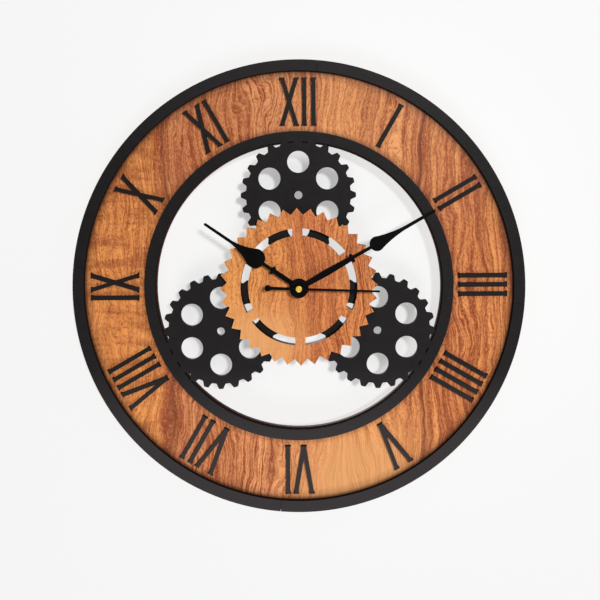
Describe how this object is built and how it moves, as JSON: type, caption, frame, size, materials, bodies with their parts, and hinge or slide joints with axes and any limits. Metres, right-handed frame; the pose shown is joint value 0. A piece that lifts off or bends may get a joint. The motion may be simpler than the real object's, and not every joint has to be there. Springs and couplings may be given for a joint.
{
  "type": "wooden gear wall clock",
  "caption": "Round open wall clock: veneered numeral ring, black gear fretwork round a toothed wooden centre, spade hands and a battery movement hung from its nail eye.",
  "frame": {"origin": "on the axis of the hands, in the plane of the wall that the movement rests against", "axes": "+X to the right as the dial is read, +Z towards twelve, +Y into the wall; the dial faces -Y"},
  "size_m": [0.45, 0.0373, 0.45],
  "materials": {
    "oak_veneer": "satin printed wood veneer on fibreboard",
    "black_mdf": "matte black lacquered fibreboard",
    "black_abs": "fine spark texture",
    "white_acetal": "moulded",
    "magnet_steel": "stamped",
    "copper_wire": "enamelled winding",
    "circuit_laminate": "lacquered laminate",
    "tin_can": "drawn can",
    "contact_steel": "nickel plated spring steel",
    "cell_jacket": "plain printed jacket",
    "brass": "turned",
    "rubber": "matte",
    "black_aluminium": "black lacquer"
  },
  "bodies": {
    "clock": {"dial_board": "oak_veneer", "rim_arc_right": "black_mdf", "rim_arc_top": "black_mdf", "rim_arc_left": "black_mdf", "rim_arc_bottom": "black_mdf", "gear_fretwork": "black_mdf", "numeral_1": "black_mdf", "numeral_2": "black_mdf", "numeral_3": "black_mdf", "numeral_4": "black_mdf", "numeral_5": "black_mdf", "numeral_6": "black_mdf", "numeral_7": "black_mdf", "numeral_8": "black_mdf", "numeral_9": "black_mdf", "numeral_10": "black_mdf", "numeral_11": "black_mdf", "numeral_12": "black_mdf", "centre_gear": "oak_veneer", "movement_case": "black_abs", "rear_cover": "black_abs", "train_plate": "white_acetal", "threaded_bushing": "brass", "rubber_washer": "rubber", "brass_washer": "brass", "hex_nut": "brass", "battery": "cell_jacket", "contact_positive": "contact_steel", "contact_negative": "contact_steel", "coil_bobbin": "white_acetal", "coil_winding": "copper_wire", "coil_core": "magnet_steel", "stator": "magnet_steel", "circuit_board": "circuit_laminate", "quartz_crystal": "tin_can", "driver_chip": "black_abs"},
    "minute_shaft": {"minute_arbor": "brass", "minute_hand": "black_aluminium"},
    "hour_pipe": {"hour_wheel": "white_acetal", "hour_hand": "black_aluminium"},
    "motion_shaft": {"motion_wheel": "white_acetal", "setting_knob": "black_abs"},
    "second_shaft": {"second_wheel": "white_acetal", "second_hand": "black_aluminium", "second_boss": "brass"},
    "third_shaft": {"third_wheel": "white_acetal"},
    "centre_shaft": {"centre_wheel": "white_acetal"},
    "step_shaft": {"step_wheel": "white_acetal"},
    "rotor_shaft": {"rotor": "magnet_steel"}
  },
  "joints": [
    {"name": "minute_hand_turn", "type": "hinge", "parent": "clock", "child": "minute_shaft", "pos_m": [0, -0.012, 0], "axis": [0, 1, 0], "continuous": true},
    {"name": "hour_hand_turn", "type": "hinge", "parent": "clock", "child": "hour_pipe", "pos_m": [0, -0.012, 0], "axis": [0, 1, 0], "continuous": true},
    {"name": "setting_knob_turn", "type": "hinge", "parent": "clock", "child": "motion_shaft", "pos_m": [0.01081, -0.012, 0.00393], "axis": [0, 1, 0], "continuous": true},
    {"name": "second_hand_turn", "type": "hinge", "parent": "clock", "child": "second_shaft", "pos_m": [0, -0.012, 0], "axis": [0, 1, 0], "continuous": true},
    {"name": "third_wheel_turn", "type": "hinge", "parent": "clock", "child": "third_shaft", "pos_m": [-0.00735, -0.012, 0.00617], "axis": [0, 1, 0], "continuous": true},
    {"name": "centre_wheel_turn", "type": "hinge", "parent": "clock", "child": "centre_shaft", "pos_m": [0, -0.012, 0], "axis": [0, 1, 0], "continuous": true},
    {"name": "step_wheel_turn", "type": "hinge", "parent": "clock", "child": "step_shaft", "pos_m": [0.00167, -0.012, 0.00945], "axis": [0, 1, 0], "continuous": true},
    {"name": "rotor_turn", "type": "hinge", "parent": "clock", "child": "rotor_shaft", "pos_m": [0.01062, -0.012, 0.01344], "axis": [0, 1, 0], "continuous": true}
  ],
  "couplings": [
    {"joint": "hour_hand_turn", "follows": "minute_hand_turn", "ratio": 0.083333},
    {"joint": "setting_knob_turn", "follows": "minute_hand_turn", "ratio": -0.33333},
    {"joint": "third_wheel_turn", "follows": "second_hand_turn", "ratio": -0.13333},
    {"joint": "centre_wheel_turn", "follows": "second_hand_turn", "ratio": 0.016667},
    {"joint": "step_wheel_turn", "follows": "second_hand_turn", "ratio": -5},
    {"joint": "rotor_turn", "follows": "second_hand_turn", "ratio": 30}
  ]
}
